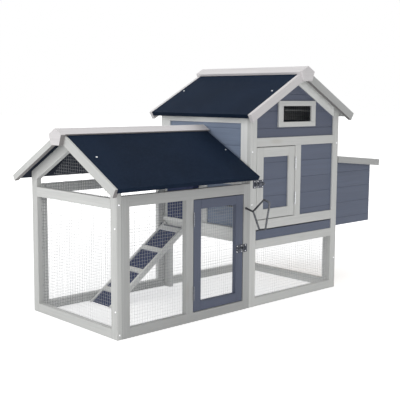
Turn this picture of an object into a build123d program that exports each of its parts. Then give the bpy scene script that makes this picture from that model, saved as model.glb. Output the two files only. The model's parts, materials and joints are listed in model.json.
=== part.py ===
# Wooden chicken coop with a run: timber frames, boarded house, wire nets, doors, tray, nest box and ramp.
# Millimetres, +Z up, front toward -Y. The origin is the middle of the outline at ground level.
import os
from math import atan2, cos, radians, sin, tan

from build123d import *

os.makedirs("parts", exist_ok=True)

# Frames and timber
frame_depth = 580
run_length = 707
house_width = 597
timber_w = 38
timber_t = 22
joint_gap = 0.2

# Run frames
run_rail_top = 540
run_top_rail_w = 41
end_rail_top = 531
end_top_rail_w = 40
run_rafter_w = 44

# House frames, from the ground up
tray_rail_top = 291
tray_slot = 45
sill_w = 41
house_opening_h = 316
side_floor_rail = 289
side_floor_rail_w = 53
side_top_rail = 793
side_top_rail_w = 45
nest_rail = 596
nest_rail_w = 54

# Boards
board_t = 10
board_recess = 7
board_pitch = 73.5
board_datum = 476
groove_w = 4
groove_depth = 2
slit = 0.3

# Nets
net_wire = 2
net_pitch = 31
wide_net_pitch = 37
net_lap = 12
vent_net_pitch = 10
vent_wire = 1

# Roofs
roof_pitch = 29
roof_t = 16
felt_t = 2
barge_w = 36
barge_t = 18
run_back_barge_w = 27
run_felt_setback = 12
run_height = 782
run_eave = 66
run_cap_t = 7
run_cap_w = 42
run_block_reach = 72
run_block_t = 20
run_wall_gap = 12
house_height = 1040
house_eave = 52.5
house_cap_t = 12
house_cap_w = 49
house_block_reach = 57
house_block_t = 10
house_back_overhang = 27
block_slope = 49
block_depth = 66
block_foot = 56

# Doors and hinges
door_gap = 3
door_t = 20
door_setback = 1
run_door_opening = 288
run_door_stile = 41
run_door_rail = 38
house_door_opening = 253
house_door_member = 42
hinge_length = 57
hinge_inset = 48
knuckle_r = 3.2
knuckle_lift = 0.4
knuckle_play = 0.3
pin_r = 1.6
pin_play = 0.05
leaf_depth = 12
leaf_t = 1.2
leaf_play = 0.15

# Barrel bolts
bolt_r = 3.5
bolt_play = 0.1
keeper_play = 0.6
bolt_plate_l = 38
bolt_plate_h = 34
bolt_plate_t = 1.5
strap_w = 7
strap_t = 2
keeper_l = 20
knob_r = 2.5
knob_reach = 12
run_bolt_z = 268
house_bolt_z = 535

# Pop door, its tracks and its pull rod
jamb_y = 269
jamb_w = 54
pop_header = 530
pop_panel_t = 8
pop_lap = 4
pop_play = 0.5
pop_end_gap = 10
track_lip = 4
track_grip = 8
track_base = 10
batten_gap = 4
batten_w = 20
batten_t = 22
rod_r = 4
rod_play = 1.5
rod_out = 24
rod_z = 437
rod_fit = 0.05
bend_r = 8
loop_kink = (4, 0)
loop_start = (42, -10)
loop_low_in = (78, -82)
loop_low_out = (112, -76)
loop_high_out = (134, 39)
loop_high_in = (101, 46)
loop_end = (44.5, -5.5)
rod_grip = 15

# Tray
tray_play = 4
tray_front_t = 12
tray_setback = 2
tray_front_top_gap = 5
pan_inset = 12
pan_h = 30
pan_t = 1.5
pan_back_gap = 12
runner_w = 30
runner_h = 20
slide_play = 0.3

# Vent and perch
vent_w = 250
vent_h = 114
vent_member_w = 30
vent_member_h = 22.5
vent_z = 831.5
vent_proud = 2
perch_size = 30
perch_z = 470

# Nest box and lid
nest_reach = 298
nest_inset = 25
nest_floor_z = 293
nest_board_t = 12
lid_reach = 342
lid_top = 630
lid_fall = 31
lid_panel_t = 12
lid_rim_w = 31
lid_rim_t = 15
lid_rest_gap = 0.3
lid_gap = 7.4
lid_hinge_inset = 90

# Ramp
ramp_angle = 36
ramp_w = 150
ramp_back = 546
ramp_rail_t = 12
ramp_rail_low = 14
ramp_rail_high = 9
ramp_deck_t = 8
rung_w = 24
rung_t = 8
rung_first = 24
rung_pitch = 136
rung_count = 4
pivot_out = 20
pivot_z = 300
pivot_r = 5
pivot_end = 12
pivot_play = 0.08
bracket_t = 7
bracket_h = 22
bracket_lip = 4
ramp_side_gap = 1

# Screws
screw_r = 3.6
screw_h = 1.4
screw_inset = 11
stile_screw_low = 107
stile_screw_high = 421
house_screw_z = 449
roof_screw_along = 186
run_screw_inset = 31
house_screw_inset = 15

# Slopes
pitch = radians(roof_pitch)
lid_slope = atan2(lid_fall, lid_reach)
climb = radians(ramp_angle)


def bend_centre(before, corner, after, radius):
    """Centre of the arc that rounds a corner of a bent wire."""
    back = Vector(*before) - Vector(*corner)
    ahead = Vector(*after) - Vector(*corner)
    half_angle = radians(back.get_angle(ahead)) / 2
    bisector = back.normalized() + ahead.normalized()
    return Vector(*corner) + bisector.normalized() * (radius / sin(half_angle))


# The loop is drawn from the rod's axis, with distances counted outward from the front of the frames
loop_points = [
    loop_kink,
    loop_start,
    loop_low_in,
    loop_low_out,
    loop_high_out,
    loop_high_in,
    loop_end,
]
handle_reach = bend_centre(loop_low_out, loop_high_out, loop_high_in, bend_r).X + bend_r + rod_r

# Main lines of the plan, placed so that the whole outline is centred on the origin
x_end = (run_block_reach - run_length - house_width - lid_reach) / 2
x_wall = x_end + run_length
x_right = x_wall + house_width
back_reach = max(run_eave, house_back_overhang + house_block_t)
y_front = (handle_reach - frame_depth - back_reach) / 2
y_back = y_front + frame_depth
x_house = (x_wall + x_right) / 2
y_run = (y_front + y_back) / 2

# Levels
house_apex = house_height - (roof_t + felt_t + house_cap_t) / cos(pitch)
run_apex = run_height - (roof_t + felt_t + run_cap_t) / cos(pitch)
slot_top = tray_rail_top + tray_slot
sill_top = slot_top + sill_w
head_rail = sill_top + house_opening_h
gable_base = head_rail + timber_w
side_sill = side_floor_rail + side_floor_rail_w

# Edges of the openings
run_left_x = x_end + timber_t + timber_w
run_right_x = x_wall - timber_w
run_door_x = run_right_x - run_door_opening
run_mullion_x = run_door_x - timber_w
house_left_x = x_wall + timber_w
house_right_x = x_right - timber_w
house_door_x = house_left_x + house_door_opening
house_panel_x = house_door_x + timber_w
side_front_y = y_front + timber_t + timber_w
side_back_y = y_back - timber_t - timber_w
inner_front_y = y_front + timber_t
inner_back_y = y_back - timber_t
left_inner_x = x_wall + timber_t
right_inner_x = x_right - timber_t

# Lines of a barrel bolt, counted along it from the door's free edge and out from the door's face
bolt_axis_h = door_setback + bolt_plate_t + bolt_r + keeper_play
plate_start = -bolt_plate_l - bolt_plate_t
plate_end = -bolt_plate_t
back_strap = plate_start + bolt_plate_t
front_strap = plate_end - bolt_plate_t - strap_w
knob_x = back_strap + strap_w + knob_r + keeper_play
bolt_start = plate_start - bolt_plate_t
bolt_tip = plate_end - keeper_play
keeper_start = door_gap + bolt_plate_t
keeper_strap = keeper_start + bolt_plate_t


def facing_front(y):
    """The XZ plane through y: sketches read (x, z) and extrude toward the front."""
    return Plane.XZ.offset(-y)


def facing_right(x):
    """The YZ plane through x: sketches read (y, z) and extrude toward +X."""
    return Plane.YZ.offset(x)


def bar(u0, u1, v0, v1, mode=Mode.ADD):
    """Adds a rectangle between two pairs of limits to the open sketch."""
    with Locations(((u0 + u1) / 2, (v0 + v1) / 2)):
        Rectangle(u1 - u0, v1 - v0, mode=mode)


def rail(u0, u1, v0, v1):
    """Adds a member that butts between two others, short of each by the joint gap."""
    bar(u0 + joint_gap, u1 - joint_gap, v0, v1)


def post(u0, u1, v0, v1):
    """Adds an upright that butts between two rails, short of each by the joint gap."""
    bar(u0, u1, v0 + joint_gap, v1 - joint_gap)


def under_roof(apex, distance):
    """Height just under a roof at a level distance from its ridge."""
    return apex - abs(distance) * tan(pitch) - joint_gap


def gable_stile(outer, inner, middle, apex):
    """Adds a stile that stands on the ground and is cut to the roof's slope."""
    top_outer = (outer, under_roof(apex, outer - middle))
    top_inner = (inner, under_roof(apex, inner - middle))
    Polygon((outer, 0), (inner, 0), top_inner, top_outer, align=None)


def rafter(foot, middle, side, apex, width):
    """Adds a rafter from its upright foot cut to the ridge."""
    head = middle + side * joint_gap / 2
    drop = width / cos(pitch)
    foot_top = under_roof(apex, foot - middle)
    head_top = under_roof(apex, head - middle)
    Polygon((foot, foot_top), (head, head_top), (head, head_top - drop), (foot, foot_top - drop), align=None)


def roof_point(middle, apex, side, along, lift):
    """A point of a roof's section, along the slope from the ridge and lifted off the underside."""
    across = along * cos(pitch) + lift * sin(pitch)
    return (middle + side * across, apex - along * sin(pitch) + lift * cos(pitch))


def roof_length(reach):
    """Length of the underside that carries the felt's edge out to a level reach from the ridge."""
    return (reach - (roof_t + felt_t) * sin(pitch)) / cos(pitch)


def ridge_cut(lift):
    """Distance along the slope at which an upright cut at the ridge meets a lift."""
    return (joint_gap / 2 - lift * sin(pitch)) / cos(pitch)


def roof_slab(middle, apex, side, end, low, high):
    """Adds one side's slab, cut upright at the ridge and square at the eave."""
    Polygon(
        roof_point(middle, apex, side, ridge_cut(low), low),
        roof_point(middle, apex, side, end, low),
        roof_point(middle, apex, side, end, high),
        roof_point(middle, apex, side, ridge_cut(high), high),
        align=None,
    )


def felt_section(middle, apex, side, end):
    """Adds one side's felt, laid on the slab and turned down over its eave."""
    top = roof_t + felt_t
    Polygon(
        roof_point(middle, apex, side, ridge_cut(roof_t), roof_t),
        roof_point(middle, apex, side, end - felt_t, roof_t),
        roof_point(middle, apex, side, end - felt_t, 0),
        roof_point(middle, apex, side, end, 0),
        roof_point(middle, apex, side, end, top),
        roof_point(middle, apex, side, ridge_cut(top), top),
        align=None,
    )


def cap_board(middle, apex, side, width, thickness):
    """Adds one side's ridge cap, laid on the felt."""
    top = roof_t + felt_t
    roof_slab(middle, apex, side, width - top * tan(pitch), top, top + thickness)


def ridge_block(middle, height):
    """Adds the five-sided block that ends a ridge."""
    shoulder = block_slope * cos(pitch)
    shoulder_z = height - shoulder * tan(pitch)
    Polygon(
        (middle, height),
        (middle + shoulder, shoulder_z),
        (middle + block_foot / 2, height - block_depth),
        (middle - block_foot / 2, height - block_depth),
        (middle - shoulder, shoulder_z),
        align=None,
    )


def net(u0, u1, v0, v1, mesh, wire):
    """Adds a net of whole gaps, near a wanted mesh, to the open sketch."""
    columns = round((u1 - u0) / mesh)
    rows = round((v1 - v0) / mesh)
    step_u = (u1 - u0 - wire) / columns
    step_v = (v1 - v0 - wire) / rows
    bar(u0, u1, v0, v1)
    with Locations(((u0 + u1) / 2, (v0 + v1) / 2)):
        with GridLocations(step_u, step_v, columns, rows):
            Rectangle(step_u - wire, step_v - wire, mode=Mode.SUBTRACT)


def board_joints(low, high):
    """Levels of the board joints between two heights."""
    first = int((low - board_datum) // board_pitch)
    last = int((high - board_datum) // board_pitch) + 1
    levels = [board_datum + board_pitch * step for step in range(first, last + 1)]
    return [level for level in levels if low + 2 * groove_w < level < high - 2 * groove_w]


def part_boards(section, length, face, back, levels):
    """Cuts the open panel into boards, with a slit through each joint and a V at its face."""
    inward = 1 if back > face else -1
    root = face + inward * groove_depth
    mouth = face - inward * groove_depth
    with BuildSketch(section) as joints:
        for level in levels:
            Polygon(
                (back + inward, level - slit / 2),
                (back + inward, level + slit / 2),
                (root, level + slit / 2),
                (mouth, level + groove_w),
                (mouth, level - groove_w),
                (root, level - slit / 2),
                align=None,
            )
    extrude(joints.sketch, amount=length, mode=Mode.SUBTRACT)


def leaf_limits(side, gap):
    """Limits of a butt hinge leaf across the gap it lies in, against its own side."""
    far = side * (gap / 2 - leaf_play)
    near = far - side * leaf_t
    return min(near, far), max(near, far)


def hinge_plate(axis, side, gap):
    """Adds the plate of a butt hinge leaf, which lies in the gap beside the pin."""
    with BuildSketch(axis) as outline:
        bar(*leaf_limits(side, gap), knuckle_r + knuckle_play, knuckle_r + knuckle_lift + leaf_depth)
    extrude(outline.sketch, amount=hinge_length)


def hinge_knuckle(axis, side, gap, low, high):
    """Adds a knuckle with the tab that joins it to its plate."""
    with BuildSketch(axis.offset(low)) as outline:
        Circle(knuckle_r)
        bar(*leaf_limits(side, gap), 0, knuckle_r + 2 * knuckle_play)
    extrude(outline.sketch, amount=high - low)


def fixed_leaf(axis, gap):
    """Adds the leaf on the still side: plate, two end knuckles and the pin they hold."""
    hinge_plate(axis, -1, gap)
    hinge_knuckle(axis, -1, gap, 0, hinge_length / 3)
    hinge_knuckle(axis, -1, gap, hinge_length * 2 / 3, hinge_length)
    with BuildSketch(axis) as outline:
        Circle(pin_r)
    extrude(outline.sketch, amount=hinge_length)


def moving_leaf(axis, gap):
    """Adds the leaf on the moving side: plate and middle knuckle, bored for the pin."""
    hinge_plate(axis, 1, gap)
    hinge_knuckle(axis, 1, gap, hinge_length / 3 + knuckle_play, hinge_length * 2 / 3 - knuckle_play)
    with BuildSketch(axis) as outline:
        Circle(pin_r + pin_play)
    extrude(outline.sketch, amount=hinge_length, mode=Mode.SUBTRACT)


def across(base, start):
    """The plane across a bolt, a distance along it from the door's free edge."""
    return Plane(base.from_local_coords((start, 0, 0)), x_dir=base.y_dir, z_dir=base.x_dir)


def strap(base, start, foot, play):
    """Adds a strap that holds the bolt against the plate it stands on."""
    wall = bolt_r + play + strap_t
    with BuildSketch(across(base, start)) as outline:
        bar(-wall, wall, foot, bolt_axis_h)
        with Locations((0, bolt_axis_h)):
            Circle(wall)
            Circle(bolt_r + play, mode=Mode.SUBTRACT)
        bar(-wall, wall, foot - wall, foot, mode=Mode.SUBTRACT)
    extrude(outline.sketch, amount=strap_w)


def bolt_plate(base):
    """Adds the plate screwed to a door, with its two straps."""
    with BuildSketch(base) as outline:
        bar(plate_start, plate_end, -bolt_plate_h / 2, bolt_plate_h / 2)
    extrude(outline.sketch, amount=bolt_plate_t)
    for start in (back_strap, front_strap):
        strap(base, start, bolt_plate_t / 2, bolt_play)


def bolt_bar(base):
    """Adds the round bolt with its knob."""
    with BuildSketch(across(base, bolt_start)) as outline:
        with Locations((0, bolt_axis_h)):
            Circle(bolt_r)
    extrude(outline.sketch, amount=bolt_tip - bolt_start)
    with BuildSketch(base.offset(bolt_axis_h)) as outline:
        with Locations((knob_x, 0)):
            Circle(knob_r)
    extrude(outline.sketch, amount=bolt_r + knob_reach)


def bolt_keeper(base):
    """Adds the plate and strap on the frame that the bolt shoots into."""
    with BuildSketch(base.offset(door_setback)) as outline:
        bar(keeper_start, keeper_start + keeper_l, -bolt_plate_h / 2, bolt_plate_h / 2)
    extrude(outline.sketch, amount=bolt_plate_t)
    strap(base, keeper_strap, door_setback + bolt_plate_t / 2, keeper_play)


# Run end frame
with BuildPart() as run_end_frame:
    with BuildSketch(facing_right(x_end)):
        gable_stile(y_front, y_front + timber_w, y_run, run_apex)
        gable_stile(y_back, y_back - timber_w, y_run, run_apex)
        rail(y_front + timber_w, y_back - timber_w, 0, timber_w)
        rail(y_front + timber_w, y_back - timber_w, end_rail_top - end_top_rail_w, end_rail_top)
        rafter(y_front + timber_w + joint_gap, y_run, -1, run_apex, run_rafter_w)
        rafter(y_back - timber_w - joint_gap, y_run, 1, run_apex, run_rafter_w)
    extrude(amount=timber_t)

# Rafters that carry the run's roof on the house wall
with BuildPart() as run_wall_rafters:
    with BuildSketch(facing_right(x_wall - timber_t)):
        rafter(y_front + timber_w, y_run, -1, run_apex, timber_w)
        rafter(y_back - timber_w, y_run, 1, run_apex, timber_w)
    extrude(amount=timber_t)

# Run end nets: the lower bay, and the gable with only the gaps that fit whole under the rafters
gable_net_base = end_rail_top - net_lap
gable_net_apex = run_apex - (run_rafter_w - net_lap) / cos(pitch)
gable_net_half = frame_depth / 2 - timber_w
gable_net_eave = gable_net_apex - gable_net_half * tan(pitch)
gable_columns = int(gable_net_half / net_pitch)
gable_rows = int((gable_net_apex - gable_net_base) / net_pitch)
with BuildPart() as run_end_mesh:
    with BuildSketch(facing_right(x_end + timber_t)):
        net(
            y_front + timber_w - net_lap,
            y_back - timber_w + net_lap,
            timber_w - net_lap,
            end_rail_top - end_top_rail_w + net_lap,
            net_pitch,
            net_wire,
        )
        Polygon(
            (y_run - gable_net_half, gable_net_base),
            (y_run + gable_net_half, gable_net_base),
            (y_run + gable_net_half, gable_net_eave),
            (y_run, gable_net_apex),
            (y_run - gable_net_half, gable_net_eave),
            align=None,
        )
        for row in range(gable_rows):
            gap_base = gable_net_base + net_wire + row * net_pitch
            gap_top = gap_base + net_pitch - net_wire
            for column in range(-gable_columns, gable_columns):
                gap_y = column * net_pitch + net_wire / 2
                gap_far = gap_y + net_pitch - net_wire
                reach = max(abs(gap_y), abs(gap_far))
                if gap_top < gable_net_apex - reach * tan(pitch) - net_wire:
                    bar(y_run + gap_y, y_run + gap_far, gap_base, gap_top, mode=Mode.SUBTRACT)
    extrude(amount=net_wire)

# Run front frame, with the pull rod's hole through the right stile
rod_x = x_wall - rod_out
with BuildPart() as run_front_frame:
    with BuildSketch(facing_front(inner_front_y)):
        bar(x_end + timber_t + joint_gap, run_left_x, 0, run_rail_top)
        bar(run_right_x, x_wall - joint_gap, 0, run_rail_top)
        rail(run_left_x, run_right_x, 0, timber_w)
        rail(run_left_x, run_right_x, run_rail_top - run_top_rail_w, run_rail_top)
        post(run_mullion_x, run_door_x, timber_w, run_rail_top - run_top_rail_w)
        with Locations((rod_x, rod_z)):
            Circle(rod_r + rod_play, mode=Mode.SUBTRACT)
    extrude(amount=timber_t)

with BuildPart() as run_front_mesh:
    with BuildSketch(facing_front(inner_front_y + net_wire)):
        net(
            run_left_x - net_lap,
            run_mullion_x + net_lap,
            timber_w - net_lap,
            run_rail_top - run_top_rail_w + net_lap,
            net_pitch,
            net_wire,
        )
    extrude(amount=net_wire)

# Run back frame
with BuildPart() as run_back_frame:
    with BuildSketch(facing_front(y_back)):
        bar(x_end + timber_t + joint_gap, run_left_x, 0, run_rail_top)
        bar(run_right_x, x_wall - joint_gap, 0, run_rail_top)
        rail(run_left_x, run_right_x, 0, timber_w)
        rail(run_left_x, run_right_x, run_rail_top - run_top_rail_w, run_rail_top)
    extrude(amount=timber_t)

with BuildPart() as run_back_mesh:
    with BuildSketch(facing_front(inner_back_y)):
        net(
            run_left_x - net_lap,
            run_right_x + net_lap,
            timber_w - net_lap,
            run_rail_top - run_top_rail_w + net_lap,
            wide_net_pitch,
            net_wire,
        )
    extrude(amount=net_wire)

# Run roof
run_reach = frame_depth / 2 + run_eave
run_slope = roof_length(run_reach)
run_barge_x = x_end - run_block_reach + run_block_t
run_roof_x = run_barge_x + barge_t
run_roof_end = x_wall - run_wall_gap
roof_top = roof_t + felt_t
with BuildPart() as run_roof_panels:
    with BuildSketch(facing_right(run_roof_x)):
        for side in (-1, 1):
            roof_slab(y_run, run_apex, side, run_slope - felt_t, 0, roof_t)
    extrude(amount=run_roof_end - run_roof_x)

with BuildPart() as run_bargeboards:
    with BuildSketch(facing_right(run_barge_x)):
        for side, width in ((-1, barge_w), (1, run_back_barge_w)):
            roof_slab(y_run, run_apex, side, run_slope - felt_t, roof_t - width, roof_t)
    extrude(amount=barge_t)

# House front frame
with BuildPart() as house_front_frame:
    with BuildSketch(facing_front(inner_front_y)):
        gable_stile(x_wall, house_left_x, x_house, house_apex)
        gable_stile(x_right, house_right_x, x_house, house_apex)
        rail(house_left_x, house_right_x, 0, timber_w)
        rail(house_left_x, house_right_x, tray_rail_top - timber_w, tray_rail_top)
        rail(house_left_x, house_right_x, slot_top, sill_top)
        rail(house_left_x, house_right_x, head_rail, gable_base)
        post(house_door_x, house_panel_x, sill_top, head_rail)
        rafter(house_left_x + joint_gap, x_house, -1, house_apex, timber_w)
        rafter(house_right_x - joint_gap, x_house, 1, house_apex, timber_w)
    extrude(amount=timber_t)

# House front boards: the panel beside the door, and the gable with the vent's opening
front_face = y_front + board_recess
with BuildPart() as house_front_boards:
    with BuildSketch(facing_front(front_face + board_t)):
        bar(
            house_panel_x + joint_gap,
            house_right_x - joint_gap,
            sill_top + joint_gap,
            head_rail - joint_gap,
        )
    extrude(amount=board_t)
    part_boards(
        facing_right(house_panel_x),
        house_right_x - house_panel_x,
        front_face,
        front_face + board_t,
        board_joints(sill_top, head_rail),
    )

vent_open_w = vent_w - 2 * vent_member_w
vent_open_h = vent_h - 2 * vent_member_h
gable_top = house_apex - timber_w / cos(pitch) - 2 * joint_gap
gable_half = house_width / 2 - timber_w - joint_gap


def gable_panel(base):
    """Adds the boarded gable under the rafters."""
    eave = gable_top - gable_half * tan(pitch)
    Polygon(
        (x_house - gable_half, base),
        (x_house + gable_half, base),
        (x_house + gable_half, eave),
        (x_house, gable_top),
        (x_house - gable_half, eave),
        align=None,
    )


with BuildPart() as house_gable_boards:
    with BuildSketch(facing_front(front_face + board_t)):
        gable_panel(gable_base + joint_gap)
        with Locations((x_house, vent_z)):
            Rectangle(vent_open_w + 2 * net_lap, vent_open_h + 2 * net_lap, mode=Mode.SUBTRACT)
    extrude(amount=board_t)
    part_boards(
        facing_right(house_left_x),
        house_right_x - house_left_x,
        front_face,
        front_face + board_t,
        board_joints(gable_base, gable_top),
    )

# Vent
with BuildPart() as vent_frame:
    with BuildSketch(facing_front(front_face)):
        vent_left = x_house - vent_w / 2
        vent_right = x_house + vent_w / 2
        vent_low = vent_z - vent_h / 2
        vent_high = vent_z + vent_h / 2
        bar(vent_left, vent_right, vent_low, vent_low + vent_member_h)
        bar(vent_left, vent_right, vent_high - vent_member_h, vent_high)
        post(vent_left, vent_left + vent_member_w, vent_low + vent_member_h, vent_high - vent_member_h)
        post(vent_right - vent_member_w, vent_right, vent_low + vent_member_h, vent_high - vent_member_h)
    extrude(amount=board_recess + vent_proud)

with BuildPart() as vent_mesh:
    vent_lap = net_lap - joint_gap
    with BuildSketch(facing_front(front_face + vent_wire)):
        net(
            x_house - vent_open_w / 2 - vent_lap,
            x_house + vent_open_w / 2 + vent_lap,
            vent_z - vent_open_h / 2 - vent_lap,
            vent_z + vent_open_h / 2 + vent_lap,
            vent_net_pitch,
            vent_wire,
        )
    extrude(amount=vent_wire)

# House left wall, open below to the run and with the pop doorway behind the jamb
jamb_front = y_front + jamb_y
jamb_back = jamb_front + jamb_w
header_top = pop_header + timber_w
with BuildPart() as house_left_frame:
    with BuildSketch(facing_right(x_wall)):
        wall_top = side_top_rail + side_top_rail_w
        bar(inner_front_y + joint_gap, side_front_y, 0, wall_top)
        bar(side_back_y, inner_back_y - joint_gap, 0, wall_top)
        rail(side_front_y, side_back_y, side_floor_rail, side_sill)
        rail(side_front_y, side_back_y, side_top_rail, wall_top)
        post(jamb_front, jamb_back, side_sill, header_top)
        rail(jamb_back, side_back_y, pop_header, header_top)
    extrude(amount=timber_t)

with BuildPart() as house_left_boards:
    with BuildSketch(facing_right(x_wall + board_recess)):
        bar(
            side_front_y + joint_gap,
            jamb_front - joint_gap,
            side_sill + joint_gap,
            side_top_rail - joint_gap,
        )
        bar(
            side_front_y + joint_gap,
            side_back_y - joint_gap,
            header_top + joint_gap,
            side_top_rail - joint_gap,
        )
    extrude(amount=board_t)
    part_boards(
        facing_front(side_back_y),
        side_back_y - side_front_y,
        x_wall + board_recess,
        x_wall + board_recess + board_t,
        board_joints(side_sill, side_top_rail),
    )

# House right wall, open below the lid to the nest box
with BuildPart() as house_right_frame:
    with BuildSketch(facing_right(right_inner_x)):
        bar(inner_front_y + joint_gap, side_front_y, 0, wall_top)
        bar(side_back_y, inner_back_y - joint_gap, 0, wall_top)
        rail(side_front_y, side_back_y, 0, timber_w)
        rail(side_front_y, side_back_y, side_floor_rail, side_sill)
        rail(side_front_y, side_back_y, nest_rail, nest_rail + nest_rail_w)
        rail(side_front_y, side_back_y, side_top_rail, wall_top)
    extrude(amount=timber_t)

right_face = x_right - board_recess
with BuildPart() as house_right_boards:
    with BuildSketch(facing_right(right_face - board_t)):
        bar(
            side_front_y + joint_gap,
            side_back_y - joint_gap,
            nest_rail + nest_rail_w + joint_gap,
            side_top_rail - joint_gap,
        )
    extrude(amount=board_t)
    part_boards(
        facing_front(side_back_y),
        side_back_y - side_front_y,
        right_face,
        right_face - board_t,
        board_joints(nest_rail + nest_rail_w, side_top_rail),
    )

# House back wall
with BuildPart() as house_back_frame:
    with BuildSketch(facing_front(y_back)):
        gable_stile(x_wall, house_left_x, x_house, house_apex)
        gable_stile(x_right, house_right_x, x_house, house_apex)
        rail(house_left_x, house_right_x, 0, timber_w)
        rail(house_left_x, house_right_x, tray_rail_top - timber_w, tray_rail_top)
        rail(house_left_x, house_right_x, head_rail, gable_base)
        post(house_door_x, house_panel_x, tray_rail_top, head_rail)
        rafter(house_left_x + joint_gap, x_house, -1, house_apex, timber_w)
        rafter(house_right_x - joint_gap, x_house, 1, house_apex, timber_w)
    extrude(amount=timber_t)

back_face = y_back - board_recess
with BuildPart() as house_back_boards:
    with BuildSketch(facing_front(back_face)):
        back_low = tray_rail_top + joint_gap
        back_high = head_rail - joint_gap
        bar(house_left_x + joint_gap, house_door_x - joint_gap, back_low, back_high)
        bar(house_panel_x + joint_gap, house_right_x - joint_gap, back_low, back_high)
        gable_panel(gable_base + joint_gap)
    extrude(amount=board_t)
    part_boards(
        facing_right(house_left_x),
        house_right_x - house_left_x,
        back_face,
        back_face - board_t,
        board_joints(tray_rail_top, head_rail) + board_joints(gable_base, gable_top),
    )

# Nets round the space under the house
with BuildPart() as house_lower_meshes:
    with BuildSketch(facing_front(inner_front_y + net_wire)):
        net(
            house_left_x - net_lap,
            house_right_x + net_lap,
            timber_w - net_lap,
            tray_rail_top - timber_w + net_lap,
            net_pitch,
            net_wire,
        )
    extrude(amount=net_wire)
    with BuildSketch(facing_front(inner_back_y)):
        net(
            house_left_x - net_lap,
            house_right_x + net_lap,
            timber_w - net_lap,
            tray_rail_top - timber_w + net_lap,
            net_pitch,
            net_wire,
        )
    extrude(amount=net_wire)
    with BuildSketch(facing_right(right_inner_x - net_wire)):
        net(
            side_front_y - net_lap,
            side_back_y + net_lap,
            timber_w - net_lap,
            side_floor_rail + net_lap,
            net_pitch,
            net_wire,
        )
    extrude(amount=net_wire)

# House roof
house_reach = house_width / 2 + house_eave
house_slope = roof_length(house_reach)
front_block_y = y_front - house_block_reach
front_barge_y = front_block_y + house_block_t
back_barge_y = y_back + house_back_overhang
back_block_y = back_barge_y + house_block_t
roof_front_y = front_barge_y + barge_t
roof_back_y = back_barge_y - barge_t
with BuildPart() as house_roof_panels:
    with BuildSketch(facing_front(roof_back_y)):
        for side in (-1, 1):
            roof_slab(x_house, house_apex, side, house_slope - felt_t, 0, roof_t)
    extrude(amount=roof_back_y - roof_front_y)

with BuildPart() as house_bargeboards:
    for barge_back in (roof_front_y, back_barge_y):
        with BuildSketch(facing_front(barge_back)):
            for side in (-1, 1):
                roof_slab(x_house, house_apex, side, house_slope, roof_top - barge_w, roof_top)
        extrude(amount=barge_t)

# Felt, ridge caps and ridge end blocks of both roofs
run_felt_x = run_barge_x + run_felt_setback
with BuildPart() as roof_felt:
    with BuildSketch(facing_right(run_felt_x)):
        for side in (-1, 1):
            felt_section(y_run, run_apex, side, run_slope)
    extrude(amount=run_roof_end - run_felt_x)
    with BuildSketch(facing_front(roof_back_y)):
        for side in (-1, 1):
            felt_section(x_house, house_apex, side, house_slope)
    extrude(amount=roof_back_y - roof_front_y)

with BuildPart() as ridge_caps:
    with BuildSketch(facing_right(run_barge_x)):
        for side in (-1, 1):
            cap_board(y_run, run_apex, side, run_cap_w, run_cap_t)
    extrude(amount=x_wall - joint_gap - run_barge_x)
    with BuildSketch(facing_front(back_barge_y)):
        for side in (-1, 1):
            cap_board(x_house, house_apex, side, house_cap_w, house_cap_t)
    extrude(amount=back_barge_y - front_barge_y)

with BuildPart() as ridge_blocks:
    with BuildSketch(facing_right(x_end - run_block_reach)):
        ridge_block(y_run, run_height)
    extrude(amount=run_block_t)
    for block_back in (front_barge_y, back_block_y):
        with BuildSketch(facing_front(block_back)):
            ridge_block(x_house, house_height)
        extrude(amount=house_block_t)

# Tray and its runners
tray_left = house_left_x + tray_play
tray_right = house_right_x - tray_play
tray_front_y = y_front + tray_setback
tray_base = tray_rail_top + slide_play
with BuildPart() as tray_runners:
    net_clear = net_wire + joint_gap
    with BuildSketch(facing_front(inner_back_y - net_clear)):
        bar(left_inner_x + net_clear, house_left_x + runner_w, tray_rail_top - runner_h, tray_rail_top)
        bar(house_right_x - runner_w, right_inner_x - net_clear, tray_rail_top - runner_h, tray_rail_top)
    extrude(amount=inner_back_y - inner_front_y - 2 * net_clear)

with BuildPart() as tray_front:
    with BuildSketch(facing_front(tray_front_y + tray_front_t)):
        bar(tray_left, tray_right, tray_base, slot_top - tray_front_top_gap)
    extrude(amount=tray_front_t)

with BuildPart() as tray_pan:
    pan_left = tray_left + pan_inset
    pan_right = tray_right - pan_inset
    pan_front = tray_front_y + tray_front_t
    pan_back = inner_back_y - pan_back_gap
    with BuildSketch(Plane.XY.offset(tray_base)):
        bar(pan_left, pan_right, pan_front, pan_back)
    extrude(amount=pan_h)
    with BuildSketch(Plane.XY.offset(tray_base + pan_t)):
        bar(pan_left + pan_t, pan_right - pan_t, pan_front + pan_t, pan_back - pan_t)
    extrude(amount=pan_h, mode=Mode.SUBTRACT)

# Perch between the front and back mullions
with BuildPart() as perch:
    with BuildSketch(facing_front(inner_back_y - joint_gap)):
        with Locations(((house_door_x + house_panel_x) / 2, perch_z)):
            RectangleRounded(perch_size, perch_size, perch_size / 5)
    extrude(amount=inner_back_y - inner_front_y - 2 * joint_gap)


def lid_point(along, lift):
    """A point of the lid's section, along its slope from the wall and lifted off its top."""
    x = x_right + lid_gap + along * cos(lid_slope) + lift * sin(lid_slope)
    return (x, lid_top - along * sin(lid_slope) + lift * cos(lid_slope))


def lid_slab(start, end, low, high):
    """Adds a slab of the lid; a start of zero is cut upright along the wall."""
    low_start = start if start else -low * tan(lid_slope)
    high_start = start if start else -high * tan(lid_slope)
    Polygon(
        lid_point(low_start, low),
        lid_point(end, low),
        lid_point(end, high),
        lid_point(high_start, high),
        align=None,
    )


# Nest box
nest_start = x_right + joint_gap
nest_end = x_right + nest_reach
nest_inner_end = nest_end - nest_board_t - joint_gap
nest_front = y_front + nest_inset
nest_back = y_back - nest_inset
nest_seat = -felt_t - lid_panel_t - lid_rest_gap


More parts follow.
